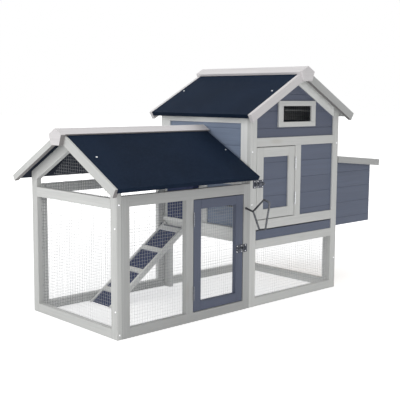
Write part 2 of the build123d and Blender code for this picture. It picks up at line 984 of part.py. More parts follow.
def nest_top(x):
    """Height of the box's edge under the lid."""
    rise = nest_seat * cos(lid_slope) + (nest_seat * sin(lid_slope)) * tan(lid_slope)
    return lid_top - (x - x_right - lid_gap) * tan(lid_slope) + rise


with BuildPart() as nest_box_sides:
    for side_back in (nest_front + nest_board_t, nest_back):
        with BuildSketch(facing_front(side_back)):
            Polygon(
                (nest_start, nest_floor_z),
                (nest_inner_end, nest_floor_z),
                (nest_inner_end, nest_top(nest_inner_end)),
                (nest_start, nest_top(nest_start)),
                align=None,
            )
        extrude(amount=nest_board_t)
    nest_levels = board_joints(nest_floor_z, nest_top(nest_end))
    nest_length = nest_inner_end - nest_start
    part_boards(
        facing_right(nest_start), nest_length, nest_front, nest_front + nest_board_t, nest_levels
    )
    part_boards(
        facing_right(nest_start), nest_length, nest_back, nest_back - nest_board_t, nest_levels
    )

with BuildPart() as nest_box_end:
    with BuildSketch(facing_front(nest_back)):
        Polygon(
            (nest_end - nest_board_t, nest_floor_z),
            (nest_end, nest_floor_z),
            (nest_end, nest_top(nest_end)),
            (nest_end - nest_board_t, nest_top(nest_end - nest_board_t)),
            align=None,
        )
    extrude(amount=nest_back - nest_front)
    part_boards(
        facing_front(nest_back), nest_back - nest_front, nest_end, nest_end - nest_board_t, nest_levels
    )

nest_inner_front = nest_front + nest_board_t + joint_gap
nest_inner_back = nest_back - nest_board_t - joint_gap
with BuildPart() as nest_box_floor:
    with BuildSketch(Plane.XY.offset(nest_floor_z)):
        bar(nest_start, nest_inner_end, nest_inner_front, nest_inner_back)
    extrude(amount=nest_board_t)

with BuildPart() as nest_box_divider:
    with BuildSketch(facing_front(y_run + nest_board_t / 2)):
        divider_base = nest_floor_z + nest_board_t + joint_gap
        Polygon(
            (nest_start, divider_base),
            (nest_inner_end, divider_base),
            (nest_inner_end, nest_top(nest_inner_end)),
            (nest_start, nest_top(nest_start)),
            align=None,
        )
    extrude(amount=nest_board_t)

# Nest box lid
lid_length = (lid_reach - lid_gap) / cos(lid_slope)
lid_inner = lid_length - lid_rim_t - joint_gap
lid_inner_front = y_front + lid_rim_t + joint_gap
lid_inner_back = y_back - lid_rim_t - joint_gap
with BuildPart() as nest_lid_panel:
    with BuildSketch(facing_front(lid_inner_back)):
        lid_slab(0, lid_inner, -felt_t - lid_panel_t, -felt_t)
    extrude(amount=lid_inner_back - lid_inner_front)

with BuildPart() as nest_lid_felt:
    with BuildSketch(facing_front(lid_inner_back)):
        lid_slab(0, lid_inner, -felt_t, 0)
    extrude(amount=lid_inner_back - lid_inner_front)

with BuildPart() as nest_lid_rims:
    for rim_back in (y_front + lid_rim_t, y_back):
        with BuildSketch(facing_front(rim_back)):
            lid_slab(0, lid_length, -lid_rim_w, 0)
        extrude(amount=lid_rim_t)
    with BuildSketch(facing_front(lid_inner_back)):
        lid_slab(lid_length - lid_rim_t, lid_length, -lid_rim_w, 0)
    extrude(amount=lid_inner_back - lid_inner_front)

# Run door
door_back_y = y_front + door_setback + door_t
run_door_low = timber_w + door_gap
run_door_high = run_rail_top - run_top_rail_w - door_gap
run_door_left = run_door_x + door_gap
run_door_right = run_right_x - door_gap
with BuildPart() as run_door_frame:
    with BuildSketch(facing_front(door_back_y)):
        bar(run_door_left, run_door_left + run_door_stile, run_door_low, run_door_high)
        bar(run_door_right - run_door_stile, run_door_right, run_door_low, run_door_high)
        inner_left = run_door_left + run_door_stile
        inner_right = run_door_right - run_door_stile
        rail(inner_left, inner_right, run_door_low, run_door_low + run_door_rail)
        rail(inner_left, inner_right, run_door_high - run_door_rail, run_door_high)
    extrude(amount=door_t)

with BuildPart() as run_door_mesh:
    with BuildSketch(facing_front(door_back_y + net_wire)):
        net(
            inner_left - net_lap,
            inner_right + net_lap,
            run_door_low + run_door_rail - net_lap,
            run_door_high - run_door_rail + net_lap,
            net_pitch,
            net_wire,
        )
    extrude(amount=net_wire)

# House door
house_door_low = sill_top + door_gap
house_door_high = head_rail - door_gap
house_door_left = house_left_x + door_gap
house_door_right = house_door_x - door_gap
panel_left = house_door_left + house_door_member
panel_right = house_door_right - house_door_member
panel_low = house_door_low + house_door_member
panel_high = house_door_high - house_door_member
with BuildPart() as house_door_frame:
    with BuildSketch(facing_front(door_back_y)):
        bar(house_door_left, panel_left, house_door_low, house_door_high)
        bar(panel_right, house_door_right, house_door_low, house_door_high)
        rail(panel_left, panel_right, house_door_low, panel_low)
        rail(panel_left, panel_right, panel_high, house_door_high)
    extrude(amount=door_t)

door_face = y_front + door_setback + board_recess
with BuildPart() as house_door_boards:
    with BuildSketch(facing_front(door_face + board_t)):
        bar(panel_left + joint_gap, panel_right - joint_gap, panel_low + joint_gap, panel_high - joint_gap)
    extrude(amount=board_t)
    part_boards(
        facing_right(panel_left),
        panel_right - panel_left,
        door_face,
        door_face + board_t,
        board_joints(panel_low, panel_high),
    )

# Hinge axes: local X runs from the still side to the moving side, local Y into the gap
door_pin_y = y_front - knuckle_lift - knuckle_r
run_pin_x = run_door_x + door_gap / 2
house_pin_x = house_door_x - door_gap / 2
lid_pin_x = x_right + lid_gap / 2
lid_pin_z = lid_top + knuckle_lift + knuckle_r
run_door_axes = [
    Plane((run_pin_x, door_pin_y, z), x_dir=(1, 0, 0), z_dir=(0, 0, 1))
    for z in (run_door_low + hinge_inset, run_door_high - hinge_inset - hinge_length)
]
house_door_axes = [
    Plane((house_pin_x, door_pin_y, z), x_dir=(-1, 0, 0), z_dir=(0, 0, -1))
    for z in (house_door_low + hinge_inset + hinge_length, house_door_high - hinge_inset)
]
lid_axes = [
    Plane((lid_pin_x, y, lid_pin_z), x_dir=(1, 0, 0), z_dir=(0, 1, 0))
    for y in (y_front + lid_hinge_inset, y_back - lid_hinge_inset - hinge_length)
]

with BuildPart() as fixed_hinge_leaves:
    for hinge_axis in run_door_axes + house_door_axes:
        fixed_leaf(hinge_axis, door_gap)
    for hinge_axis in lid_axes:
        fixed_leaf(hinge_axis, lid_gap)

with BuildPart() as run_door_leaves:
    for hinge_axis in run_door_axes:
        moving_leaf(hinge_axis, door_gap)

with BuildPart() as house_door_leaves:
    for hinge_axis in house_door_axes:
        moving_leaf(hinge_axis, door_gap)

with BuildPart() as nest_lid_leaves:
    for hinge_axis in lid_axes:
        moving_leaf(hinge_axis, lid_gap)

# Barrel bolts, drawn withdrawn: local X points the way the bolt shoots, from the door's free edge
run_bolt_face = Plane(
    (run_door_right, y_front + door_setback, run_bolt_z), x_dir=(1, 0, 0), z_dir=(0, -1, 0)
)
house_bolt_face = Plane(
    (house_door_left, y_front + door_setback, house_bolt_z), x_dir=(-1, 0, 0), z_dir=(0, -1, 0)
)

with BuildPart() as run_door_bolt_plate:
    bolt_plate(run_bolt_face)

with BuildPart() as run_door_bolt:
    bolt_bar(run_bolt_face)

with BuildPart() as house_door_bolt_plate:
    bolt_plate(house_bolt_face)

with BuildPart() as house_door_bolt:
    bolt_bar(house_bolt_face)

with BuildPart() as bolt_keepers:
    bolt_keeper(run_bolt_face)
    bolt_keeper(house_bolt_face)

# Pop door, closed at rest over the doorway, with its tracks on the run side of the wall
panel_back_x = x_wall - track_lip - pop_play
panel_face_x = panel_back_x - pop_panel_t
track_face_x = panel_face_x - pop_play - track_lip
pop_low = side_sill - track_grip
pop_high = pop_header + track_grip
pop_front_y = jamb_back - pop_lap
pop_back_y = side_back_y + pop_lap
with BuildPart() as pop_door_tracks:
    with BuildSketch(facing_front(inner_back_y - pop_end_gap)):
        bar(track_face_x, x_wall - joint_gap, pop_low - track_base, side_sill)
        bar(track_face_x, x_wall - joint_gap, pop_header, pop_high + track_base)
        bar(
            panel_face_x - pop_play,
            panel_back_x + pop_play,
            pop_low - pop_play,
            pop_high + pop_play,
            mode=Mode.SUBTRACT,
        )
    extrude(amount=inner_back_y - inner_front_y - 2 * pop_end_gap)

with BuildPart() as pop_door_panel:
    with BuildSketch(Plane.XY.offset(pop_low)):
        bar(panel_face_x, panel_back_x, pop_front_y, pop_back_y)
    extrude(amount=pop_high - pop_low)
    with BuildSketch(facing_front(pop_front_y + batten_w)):
        bar(
            panel_face_x - batten_t,
            panel_face_x - joint_gap,
            side_sill + batten_gap,
            pop_header - batten_gap,
        )
        with Locations((rod_x, rod_z)):
            Circle(rod_r + rod_fit, mode=Mode.SUBTRACT)
    extrude(amount=batten_w)

with BuildPart() as pull_rod:
    rod_inner = pop_front_y + rod_grip
    with BuildLine(facing_right(rod_x)) as rod_path:
        corners = [(y_front - out, rod_z + rise) for out, rise in loop_points]
        FilletPolyline((rod_inner, rod_z), *corners, radius=bend_r)
    with BuildSketch(facing_front(rod_inner)):
        with Locations((rod_x, rod_z)):
            Circle(rod_r)
    sweep(path=rod_path.wires()[0])

# Ramp, with its foot on the ground and its pivot on the wall's floor rail
ramp_front_y = y_front + ramp_back - ramp_w
ramp_back_y = y_front + ramp_back
pivot_x = x_wall - pivot_out


def ramp_point(down, lift):
    """A point of the ramp's side view, down the slope from the pivot and lifted off its middle line."""
    return (
        pivot_x - down * cos(climb) - lift * sin(climb),
        pivot_z - down * sin(climb) + lift * cos(climb),
    )


def ramp_slab(start, low, high):
    """Adds a slab that runs from near the pivot to a level cut on the ground."""
    low_foot = (pivot_z + low * cos(climb)) / sin(climb)
    high_foot = (pivot_z + high * cos(climb)) / sin(climb)
    Polygon(
        ramp_point(start, low),
        ramp_point(start, high),
        ramp_point(high_foot, high),
        ramp_point(low_foot, low),
        align=None,
    )


with BuildPart() as ramp_rails:
    for rail_back in (ramp_front_y + ramp_rail_t, ramp_back_y):
        with BuildSketch(facing_front(rail_back)):
            ramp_slab(-pivot_end, -ramp_rail_low, ramp_rail_high)
            with Locations((pivot_x, pivot_z)):
                Circle(pivot_r + rod_fit, mode=Mode.SUBTRACT)
        extrude(amount=ramp_rail_t)

deck_front_y = ramp_front_y + ramp_rail_t + joint_gap
deck_back_y = ramp_back_y - ramp_rail_t - joint_gap
deck_w = deck_back_y - deck_front_y
with BuildPart() as ramp_deck:
    with BuildSketch(facing_front(deck_back_y)):
        ramp_slab(pivot_r + ramp_deck_t / 2, -ramp_deck_t / 2, ramp_deck_t / 2)
    extrude(amount=deck_w)

with BuildPart() as ramp_rungs:
    with BuildSketch(facing_front(deck_back_y)):
        for rung in range(rung_count):
            top = rung_first + rung * rung_pitch - rung_w / 2
            Polygon(
                ramp_point(top, ramp_deck_t / 2),
                ramp_point(top, ramp_deck_t / 2 + rung_t),
                ramp_point(top + rung_w, ramp_deck_t / 2 + rung_t),
                ramp_point(top + rung_w, ramp_deck_t / 2),
                align=None,
            )
    extrude(amount=deck_w)

bracket_front_y = ramp_front_y - ramp_side_gap
bracket_back_y = ramp_back_y + ramp_side_gap
with BuildPart() as ramp_brackets:
    for bracket_rear in (bracket_front_y, bracket_back_y + bracket_t):
        with BuildSketch(facing_front(bracket_rear)):
            bar(
                pivot_x - pivot_r - bracket_lip,
                x_wall - joint_gap,
                pivot_z - bracket_h / 2,
                pivot_z + bracket_h / 2,
            )
            with Locations((pivot_x, pivot_z)):
                Circle(pivot_r + pivot_play, mode=Mode.SUBTRACT)
        extrude(amount=bracket_t)

with BuildPart() as ramp_pivot:
    with BuildSketch(facing_front(bracket_back_y + bracket_t)):
        with Locations((pivot_x, pivot_z)):
            Circle(pivot_r)
    extrude(amount=bracket_back_y - bracket_front_y + 2 * bracket_t)

# Screw heads on the corner posts and along the roofs
front_screws = [
    (x_end + screw_inset, run_rail_top - run_top_rail_w * 0.75),
    (x_end + screw_inset, timber_w / 2),
    (x_wall + screw_inset, head_rail - timber_w / 2),
    (x_wall + screw_inset, house_screw_z),
    (x_right - screw_inset, tray_rail_top / 2),
    (x_right - screw_inset, head_rail),
]
end_screws = [(y_front + screw_inset, stile_screw_low), (y_front + screw_inset, stile_screw_high)]
slope_screws = []
for side in (-1, 1):
    for x in (x_end, x_wall - run_screw_inset):
        y, z = roof_point(y_run, run_apex, side, roof_screw_along, roof_top)
        slope_screws.append(Plane((x, y, z), x_dir=(1, 0, 0), z_dir=(0, side * sin(pitch), cos(pitch))))
    for y in (y_front, y_back - house_screw_inset):
        x, z = roof_point(x_house, house_apex, side, roof_screw_along, roof_top)
        slope_screws.append(Plane((x, y, z), x_dir=(0, 1, 0), z_dir=(side * sin(pitch), 0, cos(pitch))))
with BuildPart() as wood_screws:
    with BuildSketch(facing_front(y_front)):
        with Locations(*front_screws):
            Circle(screw_r)
    extrude(amount=screw_h, taper=20)
    with BuildSketch(facing_right(x_end)):
        with Locations(*end_screws):
            Circle(screw_r)
    extrude(amount=-screw_h, taper=20)
    with BuildSketch(*slope_screws):
        Circle(screw_r)
    extrude(amount=screw_h, taper=20)

pieces = {
    "run_end_frame": run_end_frame,
    "run_end_mesh": run_end_mesh,
    "run_wall_rafters": run_wall_rafters,
    "run_front_frame": run_front_frame,
    "run_front_mesh": run_front_mesh,
    "run_back_frame": run_back_frame,
    "run_back_mesh": run_back_mesh,
    "run_roof_panels": run_roof_panels,
    "run_bargeboards": run_bargeboards,
    "house_front_frame": house_front_frame,
    "house_front_boards": house_front_boards,
    "house_gable_boards": house_gable_boards,
    "vent_frame": vent_frame,
    "vent_mesh": vent_mesh,
    "house_left_frame": house_left_frame,
    "house_left_boards": house_left_boards,
    "house_right_frame": house_right_frame,
    "house_right_boards": house_right_boards,
    "house_back_frame": house_back_frame,
    "house_back_boards": house_back_boards,
    "house_lower_meshes": house_lower_meshes,
    "house_roof_panels": house_roof_panels,
    "house_bargeboards": house_bargeboards,
    "roof_felt": roof_felt,
    "ridge_caps": ridge_caps,
    "ridge_blocks": ridge_blocks,
    "tray_runners": tray_runners,
    "tray_front": tray_front,
    "tray_pan": tray_pan,
    "perch": perch,
    "nest_box_sides": nest_box_sides,
    "nest_box_end": nest_box_end,
    "nest_box_floor": nest_box_floor,
    "nest_box_divider": nest_box_divider,
    "nest_lid_panel": nest_lid_panel,
    "nest_lid_felt": nest_lid_felt,
    "nest_lid_rims": nest_lid_rims,
    "nest_lid_leaves": nest_lid_leaves,
    "fixed_hinge_leaves": fixed_hinge_leaves,
    "run_door_frame": run_door_frame,
    "run_door_mesh": run_door_mesh,
    "run_door_leaves": run_door_leaves,
    "run_door_bolt_plate": run_door_bolt_plate,
    "run_door_bolt": run_door_bolt,
    "house_door_frame": house_door_frame,
    "house_door_boards": house_door_boards,
    "house_door_leaves": house_door_leaves,
    "house_door_bolt_plate": house_door_bolt_plate,
    "house_door_bolt": house_door_bolt,
    "bolt_keepers": bolt_keepers,
    "pop_door_tracks": pop_door_tracks,
    "pop_door_panel": pop_door_panel,
    "pull_rod": pull_rod,
    "ramp_rails": ramp_rails,
    "ramp_deck": ramp_deck,
    "ramp_rungs": ramp_rungs,
    "ramp_brackets": ramp_brackets,
    "ramp_pivot": ramp_pivot,
    "wood_screws": wood_screws,
}
for label, piece in pieces.items():
    piece.part.label = label
    export_step(piece.part, f"parts/{label}.step")
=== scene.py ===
"""Dresses the wooden chicken coop with run: paint, felt, wire nets, hardware, light and camera."""

import json
import math
import random

import bmesh
import bpy
from mathutils import Matrix, Vector


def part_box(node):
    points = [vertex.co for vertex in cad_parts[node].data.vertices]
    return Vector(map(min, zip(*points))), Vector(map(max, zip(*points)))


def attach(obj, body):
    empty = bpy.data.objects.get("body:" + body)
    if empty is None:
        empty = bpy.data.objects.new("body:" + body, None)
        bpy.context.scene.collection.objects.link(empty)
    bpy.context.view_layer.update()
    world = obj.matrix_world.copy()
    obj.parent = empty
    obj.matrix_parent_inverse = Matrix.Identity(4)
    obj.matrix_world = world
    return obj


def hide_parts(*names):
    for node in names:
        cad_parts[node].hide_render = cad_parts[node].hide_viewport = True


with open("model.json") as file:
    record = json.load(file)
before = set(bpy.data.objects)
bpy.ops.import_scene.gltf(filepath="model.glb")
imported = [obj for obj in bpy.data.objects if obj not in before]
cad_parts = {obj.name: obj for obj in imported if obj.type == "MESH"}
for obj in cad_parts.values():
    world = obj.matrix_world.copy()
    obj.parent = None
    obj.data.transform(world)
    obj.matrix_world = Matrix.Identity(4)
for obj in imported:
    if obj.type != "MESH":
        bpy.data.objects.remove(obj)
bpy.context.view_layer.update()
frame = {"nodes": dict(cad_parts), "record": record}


# Materials
def srgb(red, green, blue):
    """A linear colour from 8-bit screen values, by the sRGB curve."""
    linear = []
    for value in (red, green, blue):
        share = value / 255
        linear.append(share / 12.92 if share <= 0.04045 else ((share + 0.055) / 1.055) ** 2.4)
    return (*linear, 1.0)


class Tree:
    """The nodes of a material or a world, with short calls to add and join them."""

    NOISE_ROUGHNESS = 0.55

    # Places of the colour sockets in Blender's Mix node
    MIX_SHARE = 0
    MIX_FIRST = 6
    MIX_SECOND = 7
    MIX_RESULT = 2

    def __init__(self, owner):
        self.owner = owner
        owner.use_nodes = True
        self.nodes = owner.node_tree.nodes
        self.links = owner.node_tree.links

    def put(self, socket, value):
        """Links a socket to another, or sets it to a plain value."""
        if isinstance(value, bpy.types.NodeSocket):
            self.links.new(value, socket)
        else:
            socket.default_value = value

    def add(self, kind, values=None, **settings):
        """A new node with its settings and its sockets' values."""
        node = self.nodes.new(kind)
        for key, value in settings.items():
            setattr(node, key, value)
        for key, value in (values or {}).items():
            self.put(node.inputs[key], value)
        return node

    def finish(self, **values):
        """Sets the main shader's sockets and gives the material."""
        shader = self.nodes["Principled BSDF"]
        for key, value in values.items():
            self.put(shader.inputs[key.replace("_", " ")], value)
        return self.owner

    def place(self):
        return self.add("ShaderNodeTexCoord").outputs["Object"]

    def named(self, attribute, output):
        return self.add("ShaderNodeAttribute", attribute_name=attribute).outputs[output]

    def scaled(self, vector, scale):
        return self.add("ShaderNodeMapping", {"Vector": vector, "Scale": scale}).outputs[0]

    def noise(self, vector, scale=1.0, detail=4.0, distortion=0.0):
        values = {"Vector": vector, "Scale": scale, "Detail": detail, "Distortion": distortion}
        values["Roughness"] = self.NOISE_ROUGHNESS
        return self.add("ShaderNodeTexNoise", values).outputs[0]

    def cells(self, vector, scale):
        return self.add("ShaderNodeTexVoronoi", {"Vector": vector, "Scale": scale})

    def remap(self, value, low, high, to_low, to_high, curve):
        values = {"Value": value, "From Min": low, "From Max": high, "To Min": to_low, "To Max": to_high}
        return self.add("ShaderNodeMapRange", values, interpolation_type=curve).outputs[0]

    def spread(self, value, low, high, to_low=0.0, to_high=1.0):
        return self.remap(value, low, high, to_low, to_high, "SMOOTHSTEP")

    def calc(self, operation, *values):
        return self.add("ShaderNodeMath", dict(enumerate(values)), operation=operation).outputs[0]

    def blend(self, values, shares):
        """The sum of two values, each at its share."""
        return self.calc("ADD", *[self.calc("MULTIPLY", *pair) for pair in zip(values, shares)])

    def mix(self, share, first, second):
        node = self.add("ShaderNodeMix", data_type="RGBA")
        self.put(node.inputs[self.MIX_SHARE], share)
        self.put(node.inputs[self.MIX_FIRST], first)
        self.put(node.inputs[self.MIX_SECOND], second)
        return node.outputs[self.MIX_RESULT]

    def bump(self, height, distance, strength, under=None):
        values = {"Height": height, "Distance": distance, "Strength": strength}
        if under is not None:
            values["Normal"] = under
        return self.add("ShaderNodeBump", values).outputs[0]

    def seen_rays(self):
        """One for rays that the eye, a mirror or glass sends out, and nought for the light's own."""
        path = self.add("ShaderNodeLightPath")
        eye_or_mirror = self.calc("MAXIMUM", path.outputs["Is Camera Ray"], path.outputs["Is Glossy Ray"])
        return self.calc("MAXIMUM", eye_or_mirror, path.outputs["Is Transmission Ray"])


def new_look(name):
    """The nodes of a new material."""
    return Tree(bpy.data.materials.new(name))


# Repeats of the patterns in painted wood in a metre along, across and through the grain
FIBRES = (5, 190, 190)
BANDS = (1.6, 34, 34)
CLOUDS = (3, 9, 9)
BRUSH_MARKS = (9, 520, 520)
KNOTS = (3.1, 11, 11)

# Values of a pattern between which it fades in
WEAR_FADE = (0.36, 0.64)
CLOUD_FADE = (0.3, 0.7)
GLOSS_FADE = (0.2, 0.8)
KNOT_FADE = (0.05, 0.17)
KNOT_CELLS = (0.52, 0.56)

# Shares of fibres and bands, and the most of the shade that clouds and a timber's own tone add
WEAR_SHARES = (0.5, 0.5)
HEIGHT_SHARES = (0.5, 0.6)
CLOUD_SHADE = 0.18
PAINT_SHADE = 0.35

# How far bands waver, the bumps' height in metres and strength, and the fibres' change of roughness
BAND_WAVER = 0.4
GRAIN_RELIEF = (0.0006, 0.35)
BRUSH_RELIEF = (0.00015, 0.35)
PAINT_GLOSS = (-0.07, 0.09)


def painted_wood(name, colour, shade, knot, knot_share, roughness, sheen):
    """Brushed paint over planed softwood: fibres, faint knots and brush marks along each timber."""
    tree = new_look(name)
    colour, shade, knot = srgb(*colour), srgb(*shade), srgb(*knot)
    grain = tree.named("grain", "Vector")
    tone = tree.named("tone", "Fac")
    fibre = tree.noise(tree.scaled(grain, FIBRES), detail=5)
    band = tree.noise(tree.scaled(grain, BANDS), detail=3, distortion=BAND_WAVER)
    cloud = tree.noise(tree.scaled(grain, CLOUDS), detail=2)
    brush = tree.noise(tree.scaled(grain, BRUSH_MARKS), detail=2)
    knots = tree.cells(tree.scaled(grain, KNOTS), 1.0)
    ring = tree.spread(knots.outputs["Distance"], *KNOT_FADE, 1.0, 0.0)
    rare = tree.spread(knots.outputs["Color"], *KNOT_CELLS)
    knot_mask = tree.calc("MULTIPLY", ring, rare)
    worn = tree.spread(tree.blend((fibre, band), WEAR_SHARES), *WEAR_FADE)
    colours = tree.mix(worn, shade, colour)
    clouded = tree.mix(tree.spread(cloud, *CLOUD_FADE, 0.0, CLOUD_SHADE), colours, shade)
    toned = tree.mix(tree.spread(tone, 0.0, 1.0, 0.0, PAINT_SHADE), clouded, shade)
    knotted = tree.mix(tree.calc("MULTIPLY", knot_mask, knot_share), toned, knot)
    relief = tree.bump(tree.blend((fibre, band), HEIGHT_SHARES), *GRAIN_RELIEF)
    strokes = tree.bump(brush, *BRUSH_RELIEF, relief)
    gloss = tree.spread(fibre, *GLOSS_FADE, *[roughness + change for change in PAINT_GLOSS])
    return tree.finish(Base_Color=knotted, Roughness=gloss, Normal=strokes, Specular_IOR_Level=sheen)


# Repeats of the patterns in bare wood in a metre, and the radians of the rings in a metre and a bend
RING_BENDS = (1.4, 10, 10)
SAWN_FIBRES = (7, 260, 260)
RING_PHASE = 95.0
BEND_PHASE = 9.0

# Where rings and fibres fade in, and the most of the dark colour that they and a timber's tone add
RING_FADE = (-0.2, 1.0)
SAWN_FADE = (0.35, 0.7)
RING_SHADE = 0.6
SAWN_SHADE = 0.4
BARE_SHADE = 0.4

# A sawn face's bumps, as height in metres and strength, and the range of its roughness
SAWN_RELIEF = (0.0005, 0.5)
SAWN_GLOSS = (0.6, 0.8)


def bare_wood(name, pale, dark):
    """Sawn softwood with growth rings that run along each timber."""
    tree = new_look(name)
    pale, dark = srgb(*pale), srgb(*dark)
    grain = tree.named("grain", "Vector")
    tone = tree.named("tone", "Fac")
    bend = tree.noise(tree.scaled(grain, RING_BENDS), detail=3)
    _, side, depth = tree.add("ShaderNodeSeparateXYZ", {0: grain}).outputs
    across = tree.blend((side, bend), (RING_PHASE, BEND_PHASE))
    through = tree.calc("MULTIPLY", depth, RING_PHASE)
    rings = tree.calc("SINE", tree.calc("ADD", across, through))
    fibre = tree.noise(tree.scaled(grain, SAWN_FIBRES), detail=5)
    ring_share = tree.spread(rings, *RING_FADE, 0.0, RING_SHADE)
    fibre_share = tree.spread(fibre, *SAWN_FADE, 0.0, SAWN_SHADE)
    toned = tree.mix(tree.spread(tone, 0.0, 1.0, 0.0, BARE_SHADE), pale, dark)
    colour = tree.mix(tree.calc("ADD", ring_share, fibre_share), toned, dark)
    relief = tree.bump(fibre, *SAWN_RELIEF)
    gloss = tree.spread(fibre, *GLOSS_FADE, *SAWN_GLOSS)
    return tree.finish(Base_Color=colour, Roughness=gloss, Normal=relief)


# Grit, dust and clouds of the felt in a metre, with what they do to its colour, height and gloss
GRIT = 620
DUST = 1500
FELT_CLOUDS = 5.5
FLECK_FADE = (0.62, 0.72)
FLECK_SHARE = 0.55
DUST_HEIGHT = 0.4
GRIT_RELIEF = (0.0008, 0.6)
FELT_GLOSS = (0.72, 0.9)
FELT_SHEEN = 0.08


def mineral_felt(name, colour, fleck, shade):
    """Bitumen felt faced with fine grit, in sheets a little uneven in tone."""
    tree = new_look(name)
    place = tree.place()
    grit = tree.cells(place, GRIT)
    dust = tree.noise(place, DUST, detail=2)
    cloud = tree.noise(place, FELT_CLOUDS, detail=3)
    mottled = tree.mix(tree.spread(cloud, *CLOUD_FADE), srgb(*shade), srgb(*colour))
    speckle = tree.spread(grit.outputs["Color"], *FLECK_FADE, 0.0, FLECK_SHARE)
    flecked = tree.mix(speckle, mottled, srgb(*fleck))
    height = tree.calc("ADD", grit.outputs["Distance"], tree.calc("MULTIPLY", dust, DUST_HEIGHT))
    relief = tree.bump(height, *GRIT_RELIEF)
    gloss = tree.spread(dust, *GLOSS_FADE, *FELT_GLOSS)
    return tree.finish(Base_Color=flecked, Roughness=gloss, Normal=relief, Specular_IOR_Level=FELT_SHEEN)


# Scales of dull patches and fine grain against the zinc's spangles, and what they do to its looks
DULL_SCALE = 0.5
FINE_SCALE = 9
SPANGLE_SHARES = (0.6, 0.4)
SPANGLE_FADE = (0.25, 0.75)
ZINC_RELIEF = (0.0001, 0.3)
ZINC_GLOSS = (-0.08, 0.14)


def zinc(name, colour, shade, spangle, roughness, metallic):
    """Zinc-coated steel with soft spangles and a few dull patches."""
    tree = new_look(name)
    place = tree.place()
    flakes = tree.cells(place, spangle)
    dull = tree.noise(place, spangle * DULL_SCALE, detail=4)
    fine = tree.noise(place, spangle * FINE_SCALE, detail=3)
    share = tree.blend((flakes.outputs["Color"], dull), SPANGLE_SHARES)
    toned = tree.mix(tree.spread(share, *SPANGLE_FADE), srgb(*shade), srgb(*colour))
    gloss = tree.spread(dull, *CLOUD_FADE, *[roughness + change for change in ZINC_GLOSS])
    relief = tree.bump(fine, *ZINC_RELIEF)
    return tree.finish(Base_Color=toned, Metallic=metallic, Roughness=gloss, Normal=relief)


# Each paint's colour, shade and knots in screen values, knots' strength, roughness and sheen. Some paints
# are lighter or darker copies of another, standing in for light and shade: painted light and painted
# shade
PAINTS = {
    "white_paint": ((220, 221, 219), (207, 208, 206), (192, 187, 177), 0.4, 0.5, 0.5),
    # Painted shade: a darker copy of the white paint for the run's front frame, the nest lid's rims and
    # the house's right bargeboard
    "run_painted_shade": ((186, 187, 186), (176, 177, 176), (163, 158, 151), 0.4, 0.5, 0.5),
    # Painted shade: a darker copy of the white paint that tones down the lamp-lit end of the run below
    # its gable and the run's bargeboards
    "end_painted_shade": ((212, 213, 211), (200, 201, 199), (186, 181, 172), 0.4, 0.5, 0.5),
    # Painted light: a lighter copy of the white paint for the run's back frame, the house's frames, the
    # ramp, the tracks and runners, and the house's rafters under the eaves
    "painted_light_white": ((248, 249, 247), (240, 241, 239), (222, 216, 206), 0.4, 0.5, 0.5),
    "roof_white": ((227, 224, 225), (214, 211, 212), (199, 192, 186), 0.3, 0.5, 0.5),
    # Painted shade: a grey copy of the white paint for faces that look down, standing in for the shade
    # under them
    "underside_painted_shade": ((150, 147, 147), (139, 136, 136), (124, 120, 117), 0.4, 0.6, 0.2),
    "blue_paint": ((95, 104, 124), (87, 95, 114), (72, 78, 92), 0.4, 0.55, 0.5),
    # Painted shade: a darker copy of the blue paint for the gable boards under the house's eaves and the
    # run door's frame
    "painted_shade_blue": ((88, 95, 115), (80, 87, 105), (66, 72, 85), 0.4, 0.55, 0.5),
    # Painted light: a lighter copy of the blue paint, standing in for light on the house's left wall
    "painted_light_blue": ((139, 153, 177), (127, 140, 162), (107, 116, 133), 0.4, 0.55, 0.5),
    "navy_paint": ((72, 82, 118), (63, 72, 104), (50, 57, 83), 0.4, 0.6, 0.12),
    "black_stain": ((38, 45, 59), (30, 36, 48), (22, 26, 35), 0.5, 0.75, 0.04),
}

# Each zinc's colour and shade in screen values, spangles in a metre, roughness and metal's share
ZINCS = {
    "wire_zinc": ((202, 204, 206), (180, 182, 184), 700, 0.5, 0.4),
    "grey_wire": ((165, 167, 170), (141, 143, 147), 700, 0.5, 0.4),
    # Painted shade: a dark copy of the wire for the back net, standing in for the wires' shaded side and
    # their shadows on the timber
    "back_wire": ((92, 95, 99), (74, 77, 81), 700, 0.5, 0.4),
    "vent_wire": ((46, 53, 63), (36, 42, 50), 700, 0.5, 0.4),
    "sheet_zinc": ((196, 199, 202), (150, 154, 158), 70, 0.4, 0.9),
    "fitting_zinc": ((134, 137, 145), (88, 91, 98), 420, 0.32, 0.9),
    "dark_zinc": ((96, 99, 108), (58, 60, 68), 420, 0.32, 0.9),
    "hinge_zinc": ((206, 207, 209), (184, 186, 188), 420, 0.3, 1.0),
    "screw_zinc": ((250, 250, 252), (238, 239, 241), 420, 0.22, 1.0),
    "rod_zinc": ((110, 112, 116), (74, 76, 80), 420, 0.4, 0.9),
}

looks = {name: painted_wood(name, *values) for name, values in PAINTS.items()}
looks["bare_pine"] = bare_wood("bare_pine", (214, 186, 146), (176, 138, 94))
looks["felt_navy"] = mineral_felt("felt_navy", (21, 34, 53), (36, 51, 70), (16, 28, 45))
looks.update({name: zinc(name, *values) for name, values in ZINCS.items()})


# Pieces made from the CAD solids, with sizes in metres
WELD = 2e-5
TIMBER_EASE = 0.0014
BOARD_EASE = 0.0006
SAWN_EASE = 0.0003
METAL_EASE = 0.00025
SEAM_DEPTH = 0.002
SEAM_FILL = 0.0012
GRAIN_SHIFT = 4

# Angles between faces
FLAT = math.radians(0.8)
SHARP = math.radians(25)
SMOOTH = math.radians(40)

# A round bevel's profile, the cosine of an edge along the grain, and decimals that tell sizes apart
ROUND_PROFILE = 0.5
ALIGNED = 0.97
LENGTH_DECIMALS = 6
AREA_DECIMALS = 9


